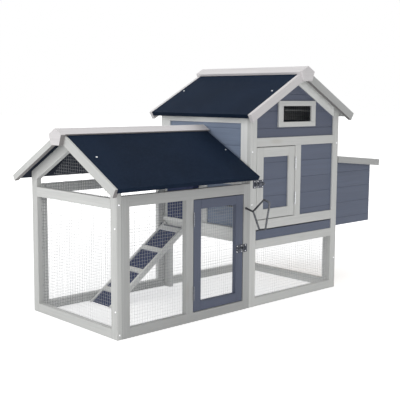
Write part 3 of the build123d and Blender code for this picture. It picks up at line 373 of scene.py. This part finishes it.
def cad_bmesh(node):
    """The node's solids, welded, with their flat faces in one piece each."""
    bm = bmesh.new()
    bm.from_mesh(frame["nodes"][node].data)
    bmesh.ops.remove_doubles(bm, verts=bm.verts, dist=WELD)
    bmesh.ops.dissolve_limit(bm, angle_limit=FLAT, verts=bm.verts, edges=bm.edges)
    return bm


def islands(bm):
    """The groups of vertices that hang together, one for each solid."""
    bm.verts.ensure_lookup_table()
    seen = set()
    groups = []
    for start in bm.verts:
        if start.index in seen:
            continue
        seen.add(start.index)
        group = [start]
        for vert in group:
            for edge in vert.link_edges:
                other = edge.other_vert(vert)
                if other.index not in seen:
                    seen.add(other.index)
                    group.append(other)
        groups.append(group)
    return groups


def number_parts(bm):
    """Numbers the vertices, edges and faces afresh."""
    bm.verts.index_update()
    bm.edges.index_update()
    bm.faces.index_update()


def solid_boxes(node):
    """The lowest and highest corners of each of a node's solids."""
    bm = cad_bmesh(node)
    boxes = []
    for group in islands(bm):
        low = Vector([min(vert.co[k] for vert in group) for k in range(3)])
        high = Vector([max(vert.co[k] for vert in group) for k in range(3)])
        boxes.append((low, high))
    bm.free()
    return boxes


def longest_edge(group):
    """A solid's longest edge, or the first of several."""
    edges = {edge for vert in group for edge in vert.link_edges}
    return max(edges, key=lambda edge: (round(edge.calc_length(), LENGTH_DECIMALS), -edge.index))


def widest_face(group):
    """A solid's largest face, or the first of several."""
    faces = {face for vert in group for face in vert.link_faces}
    return max(faces, key=lambda face: (round(face.calc_area(), AREA_DECIMALS), -face.index))


def direction(edge):
    return (edge.verts[1].co - edge.verts[0].co).normalized()


def grain_frame(group):
    """A solid's grain line, which is its longest edge, with the lines across and through it."""
    along = direction(longest_edge(group))
    side = widest_face(group).normal
    through = (side - along * side.dot(along)).normalized()
    return along, along.cross(through), through


def sharp_edges(bm, lengthwise):
    """The corners of every solid that run with its grain, or those that don't."""
    number_parts(bm)
    chosen = []
    for group in islands(bm):
        along = grain_frame(group)[0]
        for edge in {edge for vert in group for edge in vert.link_edges}:
            if edge.is_manifold and edge.calc_face_angle(0.0) > SHARP:
                if (abs(direction(edge).dot(along)) > ALIGNED) == lengthwise:
                    chosen.append(edge)
    return sorted(chosen, key=lambda edge: edge.index)


def ease(bm, edges, offset, segments):
    """Rounds edges off."""
    bmesh.ops.bevel(
        bm,
        geom=edges,
        offset=offset,
        offset_type="OFFSET",
        segments=segments,
        profile=ROUND_PROFILE,
        affect="EDGES",
        clamp_overlap=True,
    )


def soften_seams(bm):
    """Fills the grooves between boards with most of their paint."""
    number_parts(bm)
    for group in islands(bm):
        through = grain_frame(group)[2]
        depths = [vert.co.dot(through) for vert in group]
        for vert, depth in zip(group, depths):
            for face, outward in ((max(depths), 1), (min(depths), -1)):
                if abs(abs(face - depth) - SEAM_DEPTH) < WELD:
                    vert.co += through * outward * SEAM_FILL


def new_mesh(name, bm, smooth=False):
    """A mesh from a bmesh, with soft shading where asked."""
    mesh = bpy.data.meshes.new(name)
    bm.to_mesh(mesh)
    bm.free()
    if smooth:
        mesh.shade_smooth()
        mesh.set_sharp_from_angle(angle=SMOOTH)
    return mesh


def wood_mesh(name, bm, seed):
    """A mesh in which each solid has its own place in the wood and its own tone."""
    draw = random.Random(seed)
    number_parts(bm)
    places = [(0.0, 0.0, 0.0)] * len(bm.verts)
    tones = [0.0] * len(bm.verts)
    for group in islands(bm):
        axes = grain_frame(group)
        shift = [draw.uniform(-GRAIN_SHIFT, GRAIN_SHIFT) for _ in axes]
        tone = draw.random()
        for vert in group:
            places[vert.index] = [vert.co.dot(axis) + move for axis, move in zip(axes, shift)]
            tones[vert.index] = tone
    mesh = new_mesh(name, bm)
    grain = mesh.attributes.new("grain", "FLOAT_VECTOR", "POINT")
    grain.data.foreach_set("vector", [value for place in places for value in place])
    shade = mesh.attributes.new("tone", "FLOAT", "POINT")
    shade.data.foreach_set("value", tones)
    return mesh


def body_of(node):
    """The name of the body that a node belongs to."""
    for body, nodes in frame["record"]["behaviour"]["bodies"].items():
        if node in nodes:
            return body
    raise KeyError(node)


def show(name, mesh, look, slot, body, *nodes):
    """Puts a mesh in the scene as a piece that rides a body and stands for nodes."""
    mesh.materials.append(looks[look])
    piece = bpy.data.objects.new(name, mesh)
    bpy.context.scene.collection.objects.link(piece)
    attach(piece, body)
    if nodes:
        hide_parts(*nodes)
    return piece


def timber(node, look, slot, edge=TIMBER_EASE, seamed=False):
    """A node's timbers with eased long edges, sawn ends and their own grain."""
    name = node + "_dressed"
    bm = cad_bmesh(node)
    if seamed:
        soften_seams(bm)
    ease(bm, sharp_edges(bm, lengthwise=True), edge, segments=2)
    ease(bm, sharp_edges(bm, lengthwise=False), SAWN_EASE, segments=1)
    return show(name, wood_mesh(name, bm, node), look, slot, body_of(node), node)


def fitting(node, look, slot="galvanised_steel"):
    """A node's metal with eased edges and soft shading."""
    name = node + "_dressed"
    bm = cad_bmesh(node)
    corners = [edge for edge in bm.edges if edge.is_manifold and edge.calc_face_angle(0.0) > SMOOTH]
    ease(bm, corners, METAL_EASE, segments=1)
    return show(name, new_mesh(name, bm, smooth=True), look, slot, body_of(node), node)


def surface(node, look):
    """Gives a CAD node its material and leaves its shape as it is."""
    piece = frame["nodes"][node]
    piece.data.materials.clear()
    piece.data.materials.append(looks[look])


# Faces that take another look than the rest of their piece, by place in metres or by a normal's z. Most
# of these looks are painted light or painted shade
HOUSE_WALL_X = -0.08
HOUSE_RIDGE_X = 0.2185
RUN_GABLE_Z = 0.47
HOUSE_EAVES_Z = 0.85
LEANS_DOWN = -0.1
FACES_DOWN = -0.6


def repaint(piece, look, wanted):
    """Gives the faces that a test picks another material."""
    piece.data.materials.append(looks[look])
    last = len(piece.data.materials) - 1
    for polygon in piece.data.polygons:
        if wanted(polygon):
            polygon.material_index = last


def on_house(polygon):
    return polygon.center.x > HOUSE_WALL_X


def right_of_ridge(polygon):
    return polygon.center.x > HOUSE_RIDGE_X


def below_gable(polygon):
    return polygon.center.z < RUN_GABLE_Z


def in_gable(polygon):
    return polygon.center.z > RUN_GABLE_Z


def above_eaves(polygon):
    return polygon.center.z > HOUSE_EAVES_Z


def underside(polygon):
    return polygon.normal.z < FACES_DOWN


def run_low_edge(polygon):
    return polygon.normal.z < LEANS_DOWN and not on_house(polygon)


# The look of each node
WHITE_TIMBERS = {
    "white_paint": (
        "run_wall_rafters", "vent_frame", "house_door_frame", "house_roof_panels",
        "run_end_frame", "house_front_frame",
    ),
    # Painted shade: the run's front frame and the nest lid's rims take a darker copy of the white paint
    "run_painted_shade": ("run_front_frame", "nest_lid_rims"),
    # Painted light: these timbers take a lighter copy of the white paint
    "painted_light_white": (
        "run_back_frame", "house_left_frame", "house_right_frame", "house_back_frame",
        "ramp_rails", "ramp_rungs", "tray_runners", "pop_door_tracks",
    ),
    # Painted shade: the run's bargeboards take a darker copy of the white paint
    "end_painted_shade": ("run_bargeboards",),
    "roof_white": ("ridge_caps", "ridge_blocks", "house_bargeboards"),
}
BLUE_BOARDS = {
    "blue_paint": (
        "house_front_boards", "house_right_boards", "house_back_boards",
        "nest_box_sides", "nest_box_end", "house_door_boards",
    ),
    # Painted light: the house's left wall takes a lighter copy of the blue paint
    "painted_light_blue": ("house_left_boards",),
    # Painted shade: the gable boards take a darker copy of the blue paint
    "painted_shade_blue": ("house_gable_boards",),
}
BARE_BOARDS = ("perch", "nest_box_floor", "nest_box_divider", "nest_lid_panel")
FITTINGS = {
    "fitting_zinc": (
        "run_door_leaves", "ramp_brackets", "ramp_pivot", "run_door_bolt", "house_door_bolt",
        "fixed_hinge_leaves",
    ),
    "dark_zinc": ("run_door_bolt_plate", "house_door_bolt_plate", "bolt_keepers"),
    "hinge_zinc": ("house_door_leaves", "nest_lid_leaves"),
    "rod_zinc": ("pull_rod",),
}
REPAINTS = (
    # Painted shade: the run's end below its gable takes a darker copy of the white paint than its gable
    ("run_end_frame", "end_painted_shade", below_gable),
    # Painted light: the house front's rafters above the eaves take a lighter copy of the white paint
    ("house_front_frame", "painted_light_white", above_eaves),
    # Painted shade: the run's bargeboards, ridge caps and ridge blocks take the grey copy of the white
    # paint on faces that lean down
    ("run_bargeboards", "underside_painted_shade", run_low_edge),
    ("ridge_caps", "underside_painted_shade", run_low_edge),
    ("ridge_blocks", "underside_painted_shade", run_low_edge),
    # Painted shade: the house's bargeboard right of the ridge takes the darker copy of the white paint
    ("house_bargeboards", "run_painted_shade", right_of_ridge),
    # Painted shade: the undersides of the house's bargeboards take the grey copy of the white paint
    ("house_bargeboards", "underside_painted_shade", underside),
    ("fixed_hinge_leaves", "hinge_zinc", on_house),
)

dressed = {}
for look, nodes in WHITE_TIMBERS.items():
    for node in nodes:
        dressed[node] = timber(node, look, "white_timber")
for look, nodes in BLUE_BOARDS.items():
    for node in nodes:
        timber(node, look, "blue_timber", BOARD_EASE, seamed=True)
# Painted shade: the run door's frame takes a darker copy of the blue paint
timber("run_door_frame", "painted_shade_blue", "blue_timber")
timber("tray_front", "blue_paint", "blue_timber")
for node in ("ramp_deck", "pop_door_panel"):
    timber(node, "navy_paint", "navy_timber", BOARD_EASE)
timber("run_roof_panels", "black_stain", "black_board", BOARD_EASE)
for node in BARE_BOARDS:
    timber(node, "bare_pine", "plain_wood", BOARD_EASE)
for look, nodes in FITTINGS.items():
    for node in nodes:
        dressed[node] = fitting(node, look)
fitting("tray_pan", "sheet_zinc", "tray_steel")
for node in ("roof_felt", "nest_lid_felt"):
    surface(node, "felt_navy")
for node, look, wanted in REPAINTS:
    repaint(dressed[node], look, wanted)


# Screw heads, with sizes in metres
SCREW_H = 0.0014
PLATE_T = 0.0015
PLATE_SCREW_R = 0.0022
PLATE_SCREW_H = 0.0009
PLATE_SCREW_INSET = 0.0048

# A screw's dome and cross recess, in shares of its radius and height
SCREW_SIDES = 16
SCREW_DOME = ((1.0, 0.0), (0.98, 0.4), (0.84, 0.8), (0.62, 1.0))
CROSS_ARM = 0.46
CROSS_HALF = 0.13
CROSS_DEPTH = 0.6

# The columns of a plate's screws, in shares of its width
PLATE_COLUMNS = {
    "run_door_bolt_plate": (0, 1),
    "house_door_bolt_plate": (0, 1),
    "bolt_keepers": (0.5,),
}


def circle(bm, place, radius, height):
    """A level ring of vertices about a screw's axis."""
    turns = [2 * math.pi * k / SCREW_SIDES for k in range(SCREW_SIDES)]
    spots = [Vector((radius * math.cos(turn), radius * math.sin(turn), height)) for turn in turns]
    return [bm.verts.new(place @ spot) for spot in spots]


def cross(bm, place, radius, height):
    """The corners of a screw's cross recess at one depth."""
    corners = []
    for quarter in range(4):
        turn = Matrix.Rotation(math.pi / 2 * quarter, 2)
        for spot in ((CROSS_ARM, -CROSS_HALF), (CROSS_ARM, CROSS_HALF), (CROSS_HALF, CROSS_HALF)):
            x, y = turn @ Vector(spot) * radius
            corners.append(bm.verts.new(place @ Vector((x, y, height))))
    return corners


def skirt(bm, low, high):
    """Joins two rings of as many vertices with a band of faces."""
    for k in range(len(low)):
        bm.faces.new((low[k - 1], low[k], high[k], high[k - 1]))


def rim(bm, verts):
    """The edges round a ring of vertices."""
    return [bm.edges.get((verts[k - 1], verts[k])) for k in range(len(verts))]


def screw_head(bm, seat, axis, radius, height):
    """A domed head with a cross recess, seated on a face."""
    place = Matrix.Translation(seat) @ axis.to_track_quat("Z", "Y").to_matrix().to_4x4()
    rings = [circle(bm, place, radius * share, height * rise) for share, rise in SCREW_DOME]
    for low, high in zip(rings, rings[1:]):
        skirt(bm, low, high)
    mouth = cross(bm, place, radius, height)
    foot = cross(bm, place, radius, height * (1 - CROSS_DEPTH))
    skirt(bm, mouth, foot)
    bm.faces.new(foot)
    bm.faces.new(rings[0])
    bmesh.ops.triangle_fill(bm, use_beauty=True, edges=rim(bm, rings[-1]) + rim(bm, mouth), normal=axis)


def screws_piece(name, body, seats, radius, height, *nodes):
    """Screw heads on the given seats, each with the line it faces along."""
    bm = bmesh.new()
    for seat, axis in seats:
        screw_head(bm, seat, axis, radius, height)
    bmesh.ops.recalc_face_normals(bm, faces=bm.faces)
    return show(name, new_mesh(name, bm, smooth=True), "screw_zinc", "galvanised_steel", body, *nodes)


def screw_seats(node):
    """The seat and facing of each screw, from the wide end of its CAD head, and the largest radius."""
    bm = cad_bmesh(node)
    seats = []
    for group in islands(bm):
        wide = widest_face(group)
        seats.append((wide.calc_center_median(), -wide.normal))
    radius = max(math.sqrt(face.calc_area() / math.pi) for face in bm.faces)
    bm.free()
    return seats, radius


def plate_seats(node, columns):
    """Seats for the small screws along the top and bottom of each plate of a barrel bolt."""
    seats = []
    for low, high in solid_boxes(node):
        face = high.y - PLATE_T
        for column in columns:
            inset = PLATE_SCREW_INSET + column * (high.x - low.x - 2 * PLATE_SCREW_INSET)
            for height in (low.z + PLATE_SCREW_INSET, high.z - PLATE_SCREW_INSET):
                seats.append((Vector((low.x + inset, face, height)), Vector((0, -1, 0))))
    return seats


seats, head_radius = screw_seats("wood_screws")
screws_piece("wood_screws_dressed", body_of("wood_screws"), seats, head_radius, SCREW_H, "wood_screws")
for node, columns in PLATE_COLUMNS.items():
    seats = plate_seats(node, columns)
    screws_piece(node + "_screws", body_of(node), seats, PLATE_SCREW_R, PLATE_SCREW_H)


# Welded wire nets, with sizes and the coop's middle in metres
WIRE_R = 0.00038
NET_PITCH = 0.0127
NET_LAP = 0.012
NET_INSET = 0.003
STAPLE_R = 0.0005
STAPLE_HALF = 0.0045
STAPLE_LEG = 0.0022
STAPLE_PITCH = 0.085
COOP_MIDDLE = (0.0, 0.035)

# The sides of a round wire, and the step from one layer of wires to the next in shares of their radius
WIRE_SIDES = 6
LAYER_STEP = 1.85


def wire(bm, start, end, radius):
    """A round wire with closed ends."""
    run = end - start
    turn = run.to_track_quat("Z", "Y").to_matrix().to_4x4()
    bmesh.ops.create_cone(
        bm,
        cap_ends=True,
        segments=WIRE_SIDES,
        radius1=radius,
        radius2=radius,
        depth=run.length,
        matrix=Matrix.Translation((start + end) / 2) @ turn,
    )


def lines(low, high, pitch):
    """Evenly spaced places between two limits, as near the pitch as fits whole."""
    count = max(1, round((high - low) / pitch))
    return [low + (high - low) * k / count for k in range(count + 1)]


class Net:
    """Welded wire in a thin upright box. A gable's net narrows evenly to the top.

    The axis thin goes through the net, and the axis flat goes along it on the level.
    """

    def __init__(self, low, high, gable=False):
        self.low = low
        self.high = high
        self.gable = gable
        self.thin = min(range(3), key=lambda k: high[k] - low[k])
        self.flat = 1 - self.thin
        self.left = low[self.flat]
        self.right = high[self.flat]
        self.middle = (self.left + self.right) / 2
        depth = (low[self.thin] + high[self.thin]) / 2
        self.inward = 1 if depth < COOP_MIDDLE[self.thin] else -1
        outside = low[self.thin] if self.inward > 0 else high[self.thin]
        self.near = outside + self.inward * WIRE_R
        self.far = self.near + self.inward * LAYER_STEP * WIRE_R

    def spot(self, across, depth, height):
        """A point by its places along the net, through it and up."""
        point = Vector((0, 0, height))
        point[self.thin] = depth
        point[self.flat] = across
        return point

    def top_at(self, across):
        """The net's height at a place along it."""
        if not self.gable:
            return self.high.z
        slope = (self.high.z - self.low.z) / (self.right - self.left) * 2
        return self.high.z - abs(across - self.middle) * slope

    def ends_at(self, height):
        """The net's two ends at a height."""
        if not self.gable:
            return self.left, self.right
        half = (self.right - self.left) / 2 * (self.high.z - height) / (self.high.z - self.low.z)
        return self.middle - half, self.middle + half

    def weave(self, bm):
        """Upright wires on the outside and level ones on the inside, none of them a mere stub."""
        stub = NET_PITCH / 2
        for across in lines(self.left + WIRE_R, self.right - WIRE_R, NET_PITCH):
            top = self.top_at(across)
            if top - self.low.z > stub:
                ends = [self.spot(across, self.near, height) for height in (self.low.z, top)]
                wire(bm, *ends, WIRE_R)
        for height in lines(self.low.z + WIRE_R, self.high.z - WIRE_R, NET_PITCH):
            left, right = self.ends_at(height)
            if right - left > stub:
                ends = [self.spot(across, self.far, height) for across in (left, right)]
                wire(bm, *ends, WIRE_R)

    def staple(self, bm, across, height, along):
        """A staple over the net, with its legs towards the timber."""
        crown = self.spot(across, self.far + self.inward * (WIRE_R + STAPLE_R), height)
        leg = self.spot(0.0, self.inward, 0.0) * STAPLE_LEG
        ends = [crown - along * STAPLE_HALF, crown + along * STAPLE_HALF]
        wire(bm, *ends, STAPLE_R)
        for end in ends:
            wire(bm, end, end - leg, STAPLE_R)

    def fasten(self, bm):
        """Staples along all the net's edges, or along the foot of a gable's net."""
        level = self.spot(1.0, 0.0, 0.0)
        upright = self.spot(0.0, 0.0, 1.0)
        inset = NET_LAP / 2
        corner = 2 * NET_LAP
        for across in lines(self.left + corner, self.right - corner, STAPLE_PITCH):
            self.staple(bm, across, self.low.z + inset, level)
            if not self.gable:
                self.staple(bm, across, self.high.z - inset, level)
        if self.gable:
            return
        for height in lines(self.low.z + corner, self.high.z - corner, STAPLE_PITCH):
            self.staple(bm, self.left + inset, height, upright)
            self.staple(bm, self.right - inset, height, upright)


def net_piece(node, nets, look="wire_zinc", stapled=True):
    """A node's nets in real wire."""
    name = node + "_wire"
    bm = bmesh.new()
    for net in nets:
        net.weave(bm)
        if stapled:
            net.fasten(bm)
    return show(name, new_mesh(name, bm), look, "net_wire", body_of(node), node)


def square_nets(node):
    return [Net(low, high) for low, high in solid_boxes(node)]


def end_nets(node):
    """The run end's nets: a square one below and a pointed one in the gable."""
    below, above = sorted(solid_boxes(node), key=lambda box: box[0].z)
    return [Net(*below), Net(*above, gable=True)]


def wide_net(node, carrier):
    """A net that covers the whole inner face, in x and z, of the frame that carries it."""
    low, high = solid_boxes(node)[0]
    frame_low, frame_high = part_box(carrier)
    for k in (0, 2):
        low[k] = frame_low[k] + NET_INSET
        high[k] = frame_high[k] - NET_INSET
    return Net(low, high)


repaint(net_piece("run_end_mesh", end_nets("run_end_mesh")), "grey_wire", in_gable)
for node in ("run_front_mesh", "house_lower_meshes", "run_door_mesh"):
    net_piece(node, square_nets(node))
# Painted shade: the back net's wire is dark
net_piece("run_back_mesh", [wide_net("run_back_mesh", "run_back_frame")], "back_wire")
net_piece("vent_mesh", square_nets("vent_mesh"), "vent_wire", stapled=False)


# Floor and backdrop, with distances in metres
WHITE = (1, 1, 1, 1)
FLOOR_SIZE = 60.0
FLOOR_TINT = (0.95, 0.95, 0.95, 1)
FLOOR_BOUNCE = (0.92, 0.92, 0.92, 1)
# The eye sees less glow near the coop than far out: painted shade that darkens the floor round it
NEAR_GLOW = 0.55
FAR_GLOW = 0.9
GLOW_START = 0.9
GLOW_END = 3.0
SKY_LIGHT = 0.4


def pale_floor():
    """A floor that keeps the coop's shadow, and that the eye sees glow to white further out. Its glow is
    weaker near the coop, a painted shade that deepens the shadow there.
    """
    tree = new_look("pale_floor")
    tree.nodes.clear()
    reach = tree.add("ShaderNodeVectorMath", {0: tree.place()}, operation="LENGTH").outputs["Value"]
    fade = tree.remap(reach, GLOW_START, GLOW_END, NEAR_GLOW, FAR_GLOW, "LINEAR")
    glow = tree.add("ShaderNodeEmission", {"Strength": fade}).outputs[0]
    tint = tree.add("ShaderNodeBsdfDiffuse", {"Color": FLOOR_TINT}).outputs[0]
    seen = tree.add("ShaderNodeAddShader", {0: tint, 1: glow}).outputs[0]
    lit = tree.add("ShaderNodeBsdfDiffuse", {"Color": FLOOR_BOUNCE}).outputs[0]
    either = tree.add("ShaderNodeMixShader", {0: tree.seen_rays(), 1: lit, 2: seen}).outputs[0]
    tree.add("ShaderNodeOutputMaterial", {"Surface": either})
    return tree.owner


def studio():
    """A world that the eye sees white, and that lights the coop softly."""
    tree = Tree(bpy.data.worlds.new("studio"))
    tree.nodes.clear()
    lit = tree.add("ShaderNodeBackground", {"Color": WHITE, "Strength": SKY_LIGHT}).outputs[0]
    seen = tree.add("ShaderNodeBackground", {"Color": WHITE}).outputs[0]
    either = tree.add("ShaderNodeMixShader", {0: tree.seen_rays(), 1: lit, 2: seen}).outputs[0]
    tree.add("ShaderNodeOutputWorld", {"Surface": either})
    return tree.owner


half = FLOOR_SIZE / 2
corners = [(-half, -half, 0), (half, -half, 0), (half, half, 0), (-half, half, 0)]
floor_mesh = bpy.data.meshes.new("floor")
floor_mesh.from_pydata(corners, [], [(0, 1, 2, 3)])
floor_mesh.materials.append(pale_floor())
floor = bpy.data.objects.new("floor", floor_mesh)
bpy.context.scene.collection.objects.link(floor)
bpy.context.scene.world = studio()

# Each lamp's place, its size in metres and its power in watts. All look at the coop's centre
CENTRE = Vector((0.0, 0.0, 0.5))
LAMPS = {
    "key": ((-4.6, 0.3, 2.1), 3.0, 66),
    "fill": ((-2.4, -4.3, 1.6), 2.0, 44),
    "top": ((0.0, -0.3, 5.0), 4.0, 58),
    "back": ((2.6, 4.4, 1.8), 3.0, 34),
}
for name, (place, size, power) in LAMPS.items():
    lamp = bpy.data.lights.new(name, "AREA")
    lamp.shape = "SQUARE"
    lamp.size = size
    lamp.energy = power
    holder = bpy.data.objects.new(name, lamp)
    holder.location = place
    holder.rotation_euler = (CENTRE - Vector(place)).to_track_quat("-Z", "Y").to_euler()
    bpy.context.scene.collection.objects.link(holder)

# The photograph's camera, with its place in metres, and its lens and sensor in millimetres
AZIMUTH = math.radians(-43.038)
ELEVATION = math.radians(7.31)
ROLL = math.radians(0.352)
EYE = Vector((-2.5372, -2.5747, 0.9019))
LENS = 72.10
SENSOR = 36
CLIP_END = 200

back = Vector((
    math.sin(AZIMUTH) * math.cos(ELEVATION),
    -math.cos(AZIMUTH) * math.cos(ELEVATION),
    math.sin(ELEVATION),
))
level = Vector((math.cos(AZIMUTH), math.sin(AZIMUTH), 0))
upright = back.cross(level)
right = level * math.cos(ROLL) + upright * math.sin(ROLL)
top = upright * math.cos(ROLL) - level * math.sin(ROLL)
lens = bpy.data.cameras.new("camera")
lens.lens = LENS
lens.sensor_width = SENSOR
lens.clip_end = CLIP_END
camera = bpy.data.objects.new("camera", lens)
camera.matrix_world = Matrix.Translation(EYE) @ Matrix((right, top, back)).transposed().to_4x4()
bpy.context.scene.collection.objects.link(camera)
bpy.context.scene.camera = camera

bpy.context.scene.view_settings.view_transform = "Standard"
